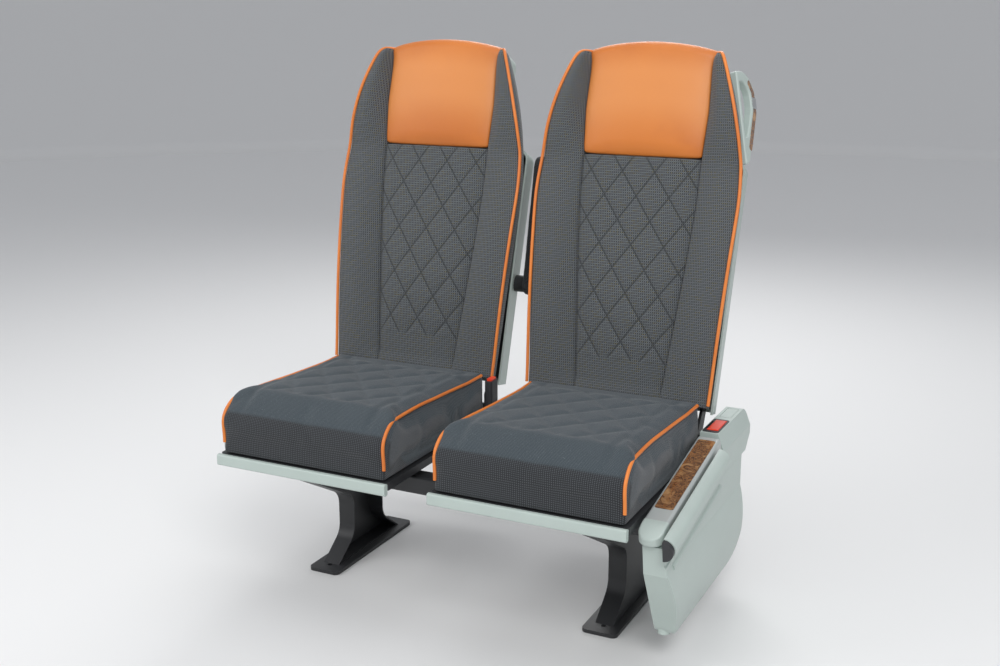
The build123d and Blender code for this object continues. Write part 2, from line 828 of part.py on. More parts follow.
console_mid_y = (console_front + console_rear) / 2
with BuildPart() as side_console:
    with BuildSketch(Plane.YZ.offset(aisle_x + console_inner)):
        with BuildLine():
            Polyline(
                (console_front, console_bottom),
                (console_rear - console_notch, console_bottom),
                (console_rear, console_bottom + console_notch),
                (console_rear, console_top),
                (console_front, console_top),
                close=True,
            )
        make_face()
    extrude(amount=console_outer - console_inner)
    with BuildSketch(Plane.YZ.offset(aisle_x + console_lip)):
        with Locations((console_mid_y, console_top - console_lip_height / 2)):
            Rectangle(console_rear - console_front, console_lip_height)
    extrude(amount=console_inner - console_lip)
    across = side_console.edges().filter_by(Axis.X)
    fillet(across.sort_by(lambda e: e.center().Z + e.center().Y)[-1], radius=console_corner)
    with BuildSketch(Plane.XZ):
        with BuildLine():
            outer_x = aisle_x + console_outer
            Polyline(
                (outer_x - console_flank_width, console_top),
                (outer_x - console_flank_width, console_top + 1),
                (outer_x + 1, console_top + 1),
                (outer_x + 1, console_top - console_flank_drop),
                (outer_x, console_top - console_flank_drop),
                close=True,
            )
        make_face()
    extrude(amount=2 * console_rear, both=True, mode=Mode.SUBTRACT)
    with BuildSketch(Plane.XY.offset(console_bottom)):
        with Locations((aisle_x + (console_inner + console_outer) / 2, console_mid_y - console_notch / 2)):
            Rectangle(
                console_outer - console_inner - 2 * console_wall,
                console_rear - console_front - console_notch - 2 * console_wall,
            )
    extrude(amount=console_top - console_bottom - console_flank_drop, mode=Mode.SUBTRACT)
    with BuildSketch(Plane.XY.offset(console_top)):
        with Locations((aisle_x + buckle_centre, buckle_y)):
            RectangleRounded(buckle_width + 2 * seat_gap, buckle_length + 2 * seat_gap, 6 + seat_gap)
    extrude(amount=-buckle_depth - seat_gap, mode=Mode.SUBTRACT)
    with BuildSketch(Plane.XY.offset(console_top)):
        with Locations((aisle_x + (console_lip + console_outer - console_flank_width) / 2, groove_y)):
            Rectangle(groove_across, groove_length)
            Rectangle(groove_across - 2 * groove_width, groove_length - 2 * groove_width, mode=Mode.SUBTRACT)
    extrude(amount=-groove_depth, mode=Mode.SUBTRACT)
side_console.part.label = "side_console"
export_step(side_console.part, "parts/side_console.step")

button_width = buckle_width - 2 * button_margin
button_length = buckle_length - 2 * button_end_margin
with BuildPart() as buckle_housing:
    with BuildSketch(Plane.XY.offset(console_top - buckle_depth)):
        with Locations((aisle_x + buckle_centre, buckle_y)):
            RectangleRounded(buckle_width, buckle_length, 6)
    extrude(amount=buckle_depth + 1)
    with BuildSketch(Plane.XY.offset(console_top + 1)):
        with Locations((aisle_x + buckle_centre + 2, buckle_y)):
            Rectangle(button_width, button_length)
    extrude(amount=-button_well, mode=Mode.SUBTRACT)
    with BuildSketch(Plane.XY.offset(console_top + 1)):
        with Locations((aisle_x + buckle_centre - buckle_width / 2 + slot_margin, buckle_y)):
            Rectangle(slot_width, slot_length)
    extrude(amount=-slot_depth, mode=Mode.SUBTRACT)
buckle_housing.part.label = "buckle_aisle"
export_step(buckle_housing.part, "parts/buckle_aisle.step")

with BuildPart() as buckle_button:
    with BuildSketch(Plane.XY.offset(console_top + 1 - button_well + seat_gap)):
        with Locations((aisle_x + buckle_centre + 2, buckle_y)):
            Rectangle(button_width - 2 * seat_gap, button_length - 2 * seat_gap)
    extrude(amount=button_well + 2)
    fillet(buckle_button.faces().sort_by(Axis.Z)[-1].edges(), radius=2)
buckle_button.part.label = "buckle_button_aisle"
export_step(buckle_button.part, "parts/buckle_button_aisle.step")

# Window seat's buckle, on a stalk from the inner recliner plate

stalk_x = -aisle_x + plate_inner + plate_thickness
stalk_buckle_x = stalk_x + stalk_thickness + stalk_buckle_width / 2
stalk_buckle_high = stalk_buckle_low + stalk_buckle_length
with BuildPart() as window_buckle:
    with BuildSketch(Plane.YZ.offset(stalk_x)):
        with Locations((stalk_y, stalk_z)):
            RectangleRounded(stalk_width, stalk_length, 8)
    extrude(amount=stalk_thickness)
    with BuildSketch(Plane.XY.offset(stalk_buckle_low)):
        with Locations((stalk_buckle_x, stalk_y)):
            RectangleRounded(stalk_buckle_width, stalk_buckle_depth, 6)
    extrude(amount=stalk_buckle_length)
window_buckle.part.label = "buckle_window"
export_step(window_buckle.part, "parts/buckle_window.step")

with BuildPart() as window_button:
    with BuildSketch(Plane.XY.offset(stalk_buckle_high + seat_gap)):
        with Locations((stalk_buckle_x, stalk_y)):
            RectangleRounded(stalk_buckle_width - 6, stalk_buckle_depth - 10, 4)
    extrude(amount=4)
window_button.part.label = "buckle_button_window"
export_step(window_button.part, "parts/buckle_button_window.step")

# Armrest beside the aisle cushion: sloping frame, inlay, nose, button and posts

slope = radians(arm_slope)
arm_surface = Plane(
    origin=(aisle_x + arm_centre, arm_rear_y, arm_rear_top),
    x_dir=(1, 0, 0),
    z_dir=(0, -sin(slope), cos(slope)),
)
arm_forward = Vector(0, -cos(slope), -sin(slope))


def arm_top(y):
    """Height of the armrest's sloping top at a place along it."""
    return arm_rear_top - (arm_rear_y - y) * tan(slope)


def arm_under(y):
    """Height of the armrest's underside at a place along it."""
    return arm_top(y) - arm_body_height / cos(slope)


def runs_along_arm(edge):
    """Whether an edge runs along the armrest."""
    return abs(edge.tangent_at(0.5).dot(arm_forward)) > 0.99


with BuildPart() as armrest_frame:
    with BuildSketch(arm_surface):
        with Locations((0, -arm_length / 2)):
            Rectangle(arm_width, arm_length)
    extrude(amount=-arm_body_height)
    fillet(armrest_frame.edges().filter_by(runs_along_arm), radius=arm_edge)
    with BuildSketch(arm_surface):
        with Locations((0, -inlay_rear_margin - inlay_length / 2)):
            RectangleRounded(inlay_width + 2 * seat_gap, inlay_length + 2 * seat_gap, 5 + seat_gap)
    extrude(amount=-inlay_depth, mode=Mode.SUBTRACT)
armrest_frame.part.label = "armrest_frame"
export_step(armrest_frame.part, "parts/armrest_frame.step")

with BuildPart() as armrest_inlay:
    with BuildSketch(arm_surface.offset(-inlay_depth)):
        with Locations((0, -inlay_rear_margin - inlay_length / 2)):
            RectangleRounded(inlay_width, inlay_length, 5)
    extrude(amount=inlay_depth + inlay_rise)
armrest_inlay.part.label = "armrest_inlay"
export_step(armrest_inlay.part, "parts/armrest_inlay.step")

with BuildPart() as armrest_nose:
    with BuildSketch(arm_surface) as nose_plan:
        with Locations((0, -arm_length - nose_length / 2)):
            Rectangle(arm_width, nose_length)
        fillet(nose_plan.vertices().group_by(Axis.Y)[0], radius=nose_corner)
    extrude(amount=-arm_body_height - nose_droop)
    nose_side = Plane(arm_surface.origin, x_dir=arm_forward, z_dir=(-1, 0, 0))
    with BuildSketch(nose_side):
        tip = arm_length + nose_length
        with BuildLine():
            ThreePointArc(
                (arm_length, 0),
                (arm_length + 0.6 * nose_length, -0.28 * nose_droop),
                (tip, -nose_droop),
            )
            Polyline(
                (tip, -nose_droop),
                (tip, -arm_body_height),
                (arm_length, -arm_body_height),
                (arm_length, 0),
            )
        make_face()
    extrude(amount=arm_width, both=True, mode=Mode.INTERSECT)
    seam = armrest_nose.faces().sort_by(Axis.Y)[-1]
    round_edges = armrest_nose.edges() - seam.edges()
    upright = round_edges.filter_by(lambda e: abs(e.tangent_at(0.5).dot(arm_surface.z_dir)) > 0.9)
    fillet(round_edges - upright, radius=nose_edge)
armrest_nose.part.label = "armrest_nose"
export_step(armrest_nose.part, "parts/armrest_nose.step")

post_bottom = cover_bottom + post_clear
with BuildPart() as armrest_posts:
    for post_y in POSTS_Y:
        with BuildSketch(Plane.XY.offset(post_bottom)):
            with Locations((aisle_x + arm_centre, post_y)):
                Circle(post_radius)
        extrude(amount=arm_under(post_y) + post_radius - post_bottom)
    add(armrest_frame.part, mode=Mode.SUBTRACT)
armrest_posts.part.label = "armrest_posts"
export_step(armrest_posts.part, "parts/armrest_posts.step")

# Side cover: hollow moulding under the armrest, open on its inner side, with a bulging
# outer skin and two guide tubes for the armrest's posts


def cover_top(y):
    """Height of the side cover's upper edge, below the armrest."""
    return arm_under(y) - (running_gap + 0.1) / cos(slope)


def cover_block(wall):
    """Solid in the shape of the side cover, made smaller by a wall."""
    with BuildPart() as block:
        with BuildSketch(Plane.YZ.offset(aisle_x + console_inner - wall)):
            with BuildLine():
                Polyline(
                    (console_front - 1, cover_top(console_front - 1)),
                    (cover_front_y, cover_top(cover_front_y)),
                    (cover_front_y + 10, cover_top(cover_front_y) - 60),
                    (cover_front_y + 90, cover_bottom),
                    (cover_rear_y - 20, cover_bottom),
                    (cover_rear_y, cover_bottom + 60),
                    (cover_rear_y, console_bottom - seat_gap),
                    (console_front - 1, console_bottom - seat_gap),
                    close=True,
                )
            outline = make_face()
            low = outline.vertices().filter_by(lambda v: v.Y < cover_bottom + 70)
            fillet(low, radius=cover_low_radius)
            if wall:
                offset(amount=-wall, kind=Kind.INTERSECTION)
        extrude(amount=cover_bulge_reach)
        with BuildSketch(Plane.XZ):
            with BuildLine():
                inner_x = aisle_x + console_inner - wall
                outer_x = aisle_x + console_outer - wall
                foot_x = aisle_x + cover_foot_reach - wall
                middle_x = aisle_x + cover_bulge_reach - wall
                ThreePointArc(
                    (foot_x, cover_bottom - 5),
                    (middle_x, cover_bulge_middle),
                    (outer_x, cover_bulge_top),
                )
                Polyline(
                    (outer_x, cover_bulge_top),
                    (outer_x, arm_rear_top),
                    (inner_x, arm_rear_top),
                    (inner_x, cover_bottom - 5),
                    (foot_x, cover_bottom - 5),
                )
            make_face()
        extrude(amount=2 * cover_bulge_reach, both=True, mode=Mode.INTERSECT)
    return block.part


outer_cover = cover_block(0)
inner_cover = cover_block(cover_wall)
rail_line = Plane(
    origin=(aisle_x + console_outer, bullet_rear_y, bullet_rear_z),
    x_dir=(1, 0, 0),
    z_dir=(0, -cos(slope), -sin(slope)),
)
with BuildPart() as side_cover:
    add(outer_cover)
    with BuildSketch(rail_line):
        with Locations((-cover_rib_radius / 3, -cover_rib_drop)):
            Circle(cover_rib_radius)
    extrude(amount=cover_rib_length)
    with BuildSketch(rail_line.offset(-cover_rear_y)):
        with Locations((0, -cover_line_drop)):
            Circle(cover_line_radius)
    extrude(amount=2 * cover_rear_y + console_rear, mode=Mode.SUBTRACT)
    add(inner_cover, mode=Mode.SUBTRACT)
    for post_y in POSTS_Y:
        with BuildSketch(Plane.XY.offset(cover_bottom + cover_wall / 2)):
            with Locations((aisle_x + arm_centre, post_y)):
                Circle(post_radius + guide_wall)
        extrude(amount=cover_top(post_y) - cover_bottom - 1.5 * cover_wall)
    for post_y in POSTS_Y:
        with BuildSketch(Plane.XY.offset(cover_bottom - 5)):
            with Locations((aisle_x + arm_centre, post_y)):
                Circle(post_radius + pin_clearance)
        extrude(amount=arm_rear_top, mode=Mode.SUBTRACT)
side_cover.part.label = "side_cover"
export_step(side_cover.part, "parts/side_cover.step")

# Bullet-shaped cover along the outer side, parallel to the armrest

with BuildPart() as rail_cover:
    with BuildSketch(rail_line):
        Circle(bullet_radius)
        with Locations((-bullet_radius, 0)):
            Rectangle(2 * bullet_radius, 2 * bullet_radius, mode=Mode.SUBTRACT)
    extrude(amount=bullet_length)
    tail = rail_cover.faces().sort_by(Axis.Y)[-1]
    extrude(tail, amount=bullet_tail, taper=bullet_taper)
rail_cover.part.label = "rail_cover"
export_step(rail_cover.part, "parts/rail_cover.step")

with BuildPart() as rail_ring:
    with BuildSketch(rail_line.offset(bullet_length)):
        Circle(bullet_radius - 2)
        with Locations((-bullet_radius, 0)):
            Rectangle(2 * bullet_radius, 2 * bullet_radius, mode=Mode.SUBTRACT)
    extrude(amount=ring_length)
rail_ring.part.label = "rail_ring"
export_step(rail_ring.part, "parts/rail_ring.step")

# Window side cap over the outer recliner plate

cap_inner = -aisle_x - plate_inner - plate_thickness
with BuildPart() as side_cap:
    with BuildSketch(Plane.YZ.offset(cap_inner)):
        with BuildLine():
            Polyline(*SIDE_CAP, close=True)
        outline = make_face()
        fillet(outline.vertices(), radius=side_cap_corner)
    extrude(amount=-side_cap_thickness)
side_cap.part.label = "side_cap"
export_step(side_cap.part, "parts/side_cap.step")

# Middle armrest, folded up between the backs, on a pin from the window back's shell

pivot = back_point(middle_pivot_behind, middle_pivot_height)
with BuildPart() as middle_mount:
    with BuildSketch(Plane.YZ.offset(-middle_width / 2 - seat_gap)):
        with Locations(pivot):
            Circle(19)
    extrude(amount=-(seat_spacing / 2 - middle_width / 2 - shell_half_neck))
    add(window_shell, mode=Mode.SUBTRACT)
    largest = middle_mount.solids().sort_by(Axis.X)[-1]
    add(largest, mode=Mode.REPLACE)
    with BuildSketch(Plane.YZ.offset(-middle_width / 2 - seat_gap)):
        with Locations(pivot):
            Circle(middle_pin_radius)
    extrude(amount=middle_width - 4)
middle_mount.part.label = "middle_mount"
export_step(middle_mount.part, "parts/middle_mount.step")

with BuildPart() as middle_arm:
    with BuildSketch(back_plane(0, middle_pivot_behind)):
        with Locations((0, middle_pivot_height + middle_length / 2 - middle_depth / 2)):
            Rectangle(middle_width, middle_length)
    extrude(amount=middle_depth / 2, both=True)
    ends = middle_arm.edges().filter_by(Axis.X)
    fillet(ends, radius=middle_depth / 2 - 4)
    with BuildSketch(Plane.YZ.offset(-middle_width / 2 - 1)):
        with Locations(pivot):
            Circle(middle_pin_radius + pin_clearance)
    extrude(amount=middle_width - 2, mode=Mode.SUBTRACT)
middle_arm.part.label = "middle_armrest"
export_step(middle_arm.part, "parts/middle_armrest.step")
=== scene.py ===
"""Looks of the twin coach seat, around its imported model, in metres.

+Z is up, the seats face -Y and the aisle is on the +X side. A place on a back is given by
its distance across from the seat's centre line, its height along the leaning back, and
how far it lies behind the back's front face.
"""

import json
import math

import bmesh
import bpy
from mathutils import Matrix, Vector
from mathutils.bvhtree import BVHTree


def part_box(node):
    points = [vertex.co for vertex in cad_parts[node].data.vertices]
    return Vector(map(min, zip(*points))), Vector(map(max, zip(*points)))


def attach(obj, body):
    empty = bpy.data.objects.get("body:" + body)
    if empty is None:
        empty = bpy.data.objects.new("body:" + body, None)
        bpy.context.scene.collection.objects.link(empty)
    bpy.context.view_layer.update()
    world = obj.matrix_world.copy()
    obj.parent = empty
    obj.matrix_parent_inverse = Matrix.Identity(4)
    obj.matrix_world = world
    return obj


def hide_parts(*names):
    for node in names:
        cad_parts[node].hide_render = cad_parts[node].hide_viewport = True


# Places and sizes shared with the CAD source
SEATS = {"aisle": 0.250, "window": -0.250}
BACKS = {"aisle": "back_aisle", "window": "back_window"}
CARRIERS = {"aisle": "aisle_carriage", "window": "frame"}
LEAN = math.radians(13)
JUNCTION_Y = 0.110
CUSHION_TOP = 0.430
CUSHION_HALF = 0.200
CUSHION_FRONT = -0.352
SIDE_DEPTH = 0.048
SIDE_INSET = 0.014
HEADREST_FOOT = 0.501
CROWN = 0.743
# Each forward swell of the bolsters: its low end, middle and top, and its reach
SWELLS = ((0.020, 0.250, 0.500, 0.012), (0.490, 0.605, 0.739, 0.020))
SWELL_BLEND = 900  # a higher value makes a sharper change from one swell to the next

# Half width of a back by height along it
OUTLINE = (
    (-0.014, 0.2060),
    (0.405, 0.2270),
    (0.450, 0.2257),
    (0.500, 0.2211),
    (0.550, 0.2132),
    (0.600, 0.2018),
    (0.650, 0.1868),
    (0.690, 0.1721),
    (0.709, 0.1641),
    (0.716, 0.1600),
    (0.721, 0.1553),
    (0.7245, 0.1495),
)
# Half width of the panel and the leather by height
SEAM = (
    (-0.014, 0.096),
    (0.180, 0.114),
    (0.300, 0.1245),
    (0.400, 0.1315),
    (0.501, 0.1330),
    (0.600, 0.1385),
    (0.704, 0.1355),
    (0.730, 0.1420),
    (0.743, 0.1450),
)

# Soft surfaces
SEAM_DEPTH = 0.0105
BOLSTER_CROWN = 0.0045
TOP_ROLL = 0.020
PANEL_FRONT = 0.0105
PANEL_CROWN = 0.004
LUMBAR = 0.006
LUMBAR_HEIGHT = 0.190
PANEL_THICKNESS = 0.011
LEATHER_THICKNESS = 0.007
QUILT_ACROSS = 0.073
QUILT_ALONG = 0.104
QUILT_PUFF = 0.0040
QUILT_FOOT = 0.066
PIPING_RADIUS = 0.0035
HEM_RADIUS = 0.0032
INLAY_LINE_RADIUS = 0.0008
WEAVE_PITCH = 0.0053
DOT_PITCH = 0.0042
TWILL_PITCH = 0.0030
PLAIN_PITCH = 0.0016
PAD_MIDDLE = 0.032  # depth of the pads' hidden middle
PAD_END = 0.036  # depth of the row that closes a pad
END_STEP = 0.0002
CUSHION_SIDE_ROOM = 0.003
QUILT_HALF = 0.150  # half width of a cushion's quilting
QUILT_REAR = 0.070
QUILT_FADE = 0.020
GROOVE_DEPTH = 0.0065
SEAM_HALF = 0.012
SEAM_PINCH = 0.0045
NOSE_RADIUS = 0.040
NOSE_DROP = 0.020
FOOT_BAND = 0.040
REAR_EDGE = 0.024
QUILT_BORDER = 0.070

CAMERA_PLACE = (1.16, -2.30, 1.21)
CAMERA_TARGET = (0.020, 0.02, 0.550)
CAMERA_LENS = 45.0
LAMP_TARGET = (0, 0, 0.6)


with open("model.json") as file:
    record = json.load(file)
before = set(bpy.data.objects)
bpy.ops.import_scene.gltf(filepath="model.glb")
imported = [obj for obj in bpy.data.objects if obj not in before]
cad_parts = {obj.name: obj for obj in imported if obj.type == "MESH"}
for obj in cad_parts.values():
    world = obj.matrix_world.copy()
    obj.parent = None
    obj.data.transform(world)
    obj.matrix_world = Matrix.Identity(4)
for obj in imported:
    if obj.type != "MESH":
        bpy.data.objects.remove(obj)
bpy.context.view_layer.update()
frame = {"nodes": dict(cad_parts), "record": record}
nodes = frame["nodes"]


def table_value(table, key):
    """Value of a (key, value) table at a key, on straight lines between its rows."""
    for (low, a), (high, b) in zip(table, table[1:]):
        if key <= high:
            share = (key - low) / (high - low)
            return a + (b - a) * max(share, 0)
    return table[-1][1]


def back_place(seat, across, height, behind):
    """Point on or behind a seat's back."""
    y = JUNCTION_Y + behind * math.cos(LEAN) + height * math.sin(LEAN)
    z = CUSHION_TOP - behind * math.sin(LEAN) + height * math.cos(LEAN)
    return Vector((SEATS[seat] + across, y, z))


def swell(height):
    """How far the bolsters stand forward at a height."""
    reaches = [0]
    for low, middle, high, reach in SWELLS:
        arch = (height - low) * (high - height) / ((middle - low) * (high - middle))
        reaches.append(reach * arch)
    return math.log(sum(math.exp(reach * SWELL_BLEND) for reach in reaches)) / SWELL_BLEND


def foot_share(height):
    """0 at the foot of a back, 1 a little above it: the seams are shallow at the foot."""
    return min(max((height - OUTLINE[0][0]) / 0.030, 0), 1)


def top_roll(height):
    """How far a back's top edge has rolled rearward at a height."""
    rise = (height - (OUTLINE[-1][0] - TOP_ROLL)) / TOP_ROLL
    return TOP_ROLL * (1 - math.sqrt(1 - min(max(rise, 0), 1) ** 2))


# Node materials


class Finish:
    """A procedural material and short calls for its nodes."""

    def __init__(self, name, roughness=0.5, **settings):
        self.material = bpy.data.materials.new(name)
        self.material.use_nodes = True
        self.nodes = self.material.node_tree.nodes
        self.links = self.material.node_tree.links
        self.shader = self.nodes["Principled BSDF"]
        self.shader.inputs["Roughness"].default_value = roughness
        for socket, value in settings.items():
            self.shader.inputs[socket.replace("_", " ")].default_value = value

    def node(self, kind, **inputs):
        """New node of a kind, with its named inputs set or linked."""
        made = self.nodes.new("ShaderNode" + kind)
        for name, value in inputs.items():
            self.feed(made.inputs[name.replace("_", " ")], value)
        return made

    def feed(self, socket, value):
        """Link an output to a socket, or set the socket's value."""
        if isinstance(value, bpy.types.NodeSocket):
            self.links.new(value, socket)
        else:
            socket.default_value = value

    def maths(self, operation, *values):
        """Output of a Math node."""
        made = self.nodes.new("ShaderNodeMath")
        made.operation = operation
        for socket, value in zip(made.inputs, values):
            self.feed(socket, value)
        return made.outputs[0]

    def mix(self, factor, first, second):
        """Colour between two colours."""
        made = self.nodes.new("ShaderNodeMix")
        made.data_type = "RGBA"
        self.feed(made.inputs[0], factor)
        self.feed(made.inputs[6], first)
        self.feed(made.inputs[7], second)
        return made.outputs[2]

    def band(self, value, low, high):
        """0 below low, 1 above high, smooth between."""
        made = self.nodes.new("ShaderNodeMapRange")
        made.interpolation_type = "SMOOTHSTEP"
        self.feed(made.inputs["Value"], value)
        made.inputs["From Min"].default_value = low
        made.inputs["From Max"].default_value = high
        return made.outputs["Result"]

    def noise(self, place, scale, detail=3.0, distortion=0.0):
        """Value of a noise texture."""
        made = self.node("TexNoise", Vector=place, Scale=scale, Detail=detail, Distortion=distortion)
        return made.outputs["Fac"]

    def place(self, output="Object"):
        """Texture coordinates of a piece."""
        return self.nodes.new("ShaderNodeTexCoord").outputs[output]

    def parts(self, vector):
        """X, Y and Z of a vector."""
        made = self.node("SeparateXYZ", Vector=vector)
        return made.outputs

    def colour(self, value):
        """Set or link the base colour."""
        self.feed(self.shader.inputs["Base Color"], value)

    def bump(self, height, distance, strength=1.0):
        """Raise the surface by a height."""
        made = self.node("Bump", Height=height, Distance=distance, Strength=strength)
        self.links.new(made.outputs["Normal"], self.shader.inputs["Normal"])


def ripple(finish, value, pitch):
    """Distance to the nearest of a row of lines, as a share of their pitch: 0 on a line."""
    scaled = finish.maths("DIVIDE", value, pitch)
    wave = finish.maths("FRACT", finish.maths("ADD", scaled, 0.5))
    return finish.maths("ABSOLUTE", finish.maths("SUBTRACT", wave, 0.5))


def woven(name, quilted=False):
    """Charcoal seat cloth: light weft lines with rows of pale dots between them."""
    cloth = Finish(name, roughness=0.86, Sheen_Weight=0.12, Sheen_Roughness=0.5)
    across, along, _ = cloth.parts(cloth.place("UV"))
    grain = cloth.noise(cloth.place("UV"), 900.0, 2.0)
    patches = cloth.noise(cloth.place("UV"), 9.0, 3.0)
    line_distance = ripple(cloth, along, WEAVE_PITCH)
    line = cloth.band(line_distance, 0.17, 0.07)
    middle = cloth.band(line_distance, 0.30, 0.38)
    slanted = cloth.maths("ADD", across, cloth.maths("MULTIPLY", along, 0.12))
    dot = cloth.maths("MULTIPLY", cloth.band(ripple(cloth, slanted, DOT_PITCH), 0.26, 0.14), middle)
    column = cloth.maths("FLOOR", cloth.maths("DIVIDE", across, DOT_PITCH))
    row = cloth.maths("FLOOR", cloth.maths("DIVIDE", along, WEAVE_PITCH))
    cell = cloth.node("CombineXYZ", X=column, Y=row).outputs[0]
    tint = cloth.node("TexWhiteNoise", Vector=cell).outputs["Value"]
    ground = cloth.mix(patches, (0.010, 0.012, 0.015, 1), (0.020, 0.023, 0.028, 1))
    ground = cloth.mix(cloth.band(grain, 0.35, 0.75), ground, (0.040, 0.045, 0.052, 1))
    thread = cloth.mix(grain, (0.105, 0.118, 0.128, 1), (0.235, 0.255, 0.265, 1))
    dots = cloth.mix(cloth.band(tint, 0.62, 0.85), (0.200, 0.218, 0.228, 1), (0.250, 0.225, 0.120, 1))
    colour = cloth.mix(line, ground, thread)
    colour = cloth.mix(dot, colour, dots)
    height = cloth.maths("ADD", cloth.maths("ADD", line, dot), cloth.maths("MULTIPLY", grain, 0.5))
    if quilted:
        # Darkens the cloth along the quilting lines: the stitching, widened with painted shade of the
        # quilting's grooves.
        stitch_groove_shade = cloth.band(quilt_lines(cloth, across, along), 0.048, 0.008)
        stitch_groove_shade = cloth.maths("MULTIPLY", stitch_groove_shade, cloth.band(along, QUILT_FOOT - 0.004, QUILT_FOOT))
        stitch_groove_shade = cloth.maths("MULTIPLY", stitch_groove_shade, 0.62)
        colour = cloth.mix(stitch_groove_shade, colour, (0.012, 0.013, 0.015, 1))
    cloth.colour(colour)
    cloth.bump(height, 0.0005, 0.7)
    return cloth.material


def quilt_lines(finish, across, along):
    """Distance to the nearest quilting line, as a share of the pitch."""
    right = finish.maths("DIVIDE", across, QUILT_ACROSS)
    up = finish.maths("DIVIDE", along, QUILT_ALONG)
    first = ripple(finish, finish.maths("ADD", right, up), 1.0)
    second = ripple(finish, finish.maths("SUBTRACT", right, up), 1.0)
    return finish.maths("MINIMUM", first, second)


def seat_cloth(name):
    """Finer blue-grey cloth of the cushions' tops."""
    cloth = Finish(name, roughness=0.88, Sheen_Weight=0.15, Sheen_Roughness=0.5)
    place = cloth.place()
    across, back, up = cloth.parts(place)
    twill = ripple(cloth, cloth.maths("ADD", across, back), TWILL_PITCH)
    cross = ripple(cloth, cloth.maths("SUBTRACT", across, back), TWILL_PITCH)
    fleck = cloth.noise(place, 700.0, 2.0)
    patches = cloth.noise(place, 12.0, 3.0)
    thread = cloth.maths("MULTIPLY", cloth.band(twill, 0.32, 0.16), cloth.band(cross, 0.40, 0.2))
    ground = cloth.mix(patches, (0.022, 0.031, 0.038, 1), (0.036, 0.047, 0.056, 1))
    colour = cloth.mix(thread, ground, (0.090, 0.118, 0.135, 1))
    colour = cloth.mix(cloth.band(fleck, 0.62, 0.78), colour, (0.17, 0.20, 0.215, 1))
    run = cloth.maths("ADD", up, back)
    nose = CUSHION_TOP + CUSHION_FRONT
    front = cloth.band(run, nose + 0.007, nose - 0.005)
    lines = cloth.band(ripple(cloth, run, DOT_PITCH), 0.34, 0.14)
    dots = cloth.band(ripple(cloth, across, DOT_PITCH), 0.34, 0.14)
    dots = cloth.maths("MULTIPLY", lines, dots)
    dark = cloth.mix(dots, (0.014, 0.016, 0.019, 1), (0.078, 0.086, 0.094, 1))
    colour = cloth.mix(front, colour, dark)
    outward = cloth.maths("SUBTRACT", cloth.maths("ABSOLUTE", across), SEATS["aisle"])
    beside = cloth.maths("ABSOLUTE", outward)
    gusset = cloth.band(beside, CUSHION_HALF - 0.004, CUSHION_HALF - 0.001)
    smooth = cloth.mix(cloth.band(fleck, 0.3, 0.7), (0.060, 0.067, 0.074, 1), (0.095, 0.104, 0.112, 1))
    cloth.colour(cloth.mix(gusset, colour, smooth))
    cloth.bump(cloth.maths("ADD", thread, cloth.maths("MULTIPLY", fleck, 0.6)), 0.0005, 0.6)
    return cloth.material


def plain_cloth(name):
    """Dark plain cloth of gussets and the middle armrest."""
    cloth = Finish(name, roughness=0.9, Sheen_Weight=0.1)
    place = cloth.place()
    _, back, up = cloth.parts(place)
    weave = cloth.maths(
        "MULTIPLY",
        cloth.band(ripple(cloth, back, PLAIN_PITCH), 0.1, 0.4),
        cloth.band(ripple(cloth, up, PLAIN_PITCH), 0.1, 0.4),
    )
    patches = cloth.noise(place, 14.0)
    ground = cloth.mix(patches, (0.020, 0.022, 0.025, 1), (0.036, 0.039, 0.043, 1))
    cloth.colour(cloth.mix(weave, ground, (0.070, 0.075, 0.080, 1)))
    cloth.bump(weave, 0.0003, 0.6)
    return cloth.material


def hide(name, pale, dark, highlight=None):
    """Smooth leather with fine pores, with a paler band painted across its middle height as a highlight
    when a highlight colour is given.
    """
    leather = Finish(name, roughness=0.42)
    place = leather.place()
    cells = leather.node("TexVoronoi", Vector=place, Scale=760.0)
    cells.feature = "DISTANCE_TO_EDGE"
    grain = leather.band(cells.outputs["Distance"], 0.0, 0.12)
    patches = leather.noise(place, 7.0, 4.0)
    colour = leather.mix(leather.band(patches, 0.35, 0.68), dark, pale)
    # Painted highlight: a paler band across the middle of the headrest's height, painted into the colour
    # instead of lit.
    if highlight:
        _, along, _ = leather.parts(leather.place("UV"))
        highlight_band = leather.maths(
            "MULTIPLY", leather.band(along, 0.520, 0.620), leather.band(along, 0.745, 0.670)
        )
        colour = leather.mix(leather.maths("MULTIPLY", highlight_band, 0.7), colour, highlight)
    leather.colour(colour)
    rough = leather.band(leather.noise(place, 60.0), 0.2, 0.8)
    leather.feed(leather.shader.inputs["Roughness"], leather.maths("MULTIPLY_ADD", rough, 0.10, 0.37))
    leather.bump(leather.maths("ADD", grain, leather.noise(place, 30.0)), 0.00011, 0.6)
    return leather.material


def moulded(name, colour, roughness=0.38, grain_scale=900.0, grain=0.00008, coat=0.0):
    """Moulded plastic with a fine grain and slight wear in its gloss."""
    plastic = Finish(name, roughness=roughness, Coat_Weight=coat, Coat_Roughness=0.15)
    place = plastic.place()
    dull = plastic.noise(place, 18.0, 4.0)
    darker = tuple(channel * 0.965 for channel in colour) + (1,)
    plastic.colour(plastic.mix(plastic.band(dull, 0.3, 0.7), darker, colour + (1,)))
    plastic.feed(
        plastic.shader.inputs["Roughness"], plastic.maths("MULTIPLY_ADD", dull, 0.12, roughness - 0.06)
    )
    plastic.bump(plastic.noise(place, grain_scale, 2.0), grain, 0.6)
    return plastic.material


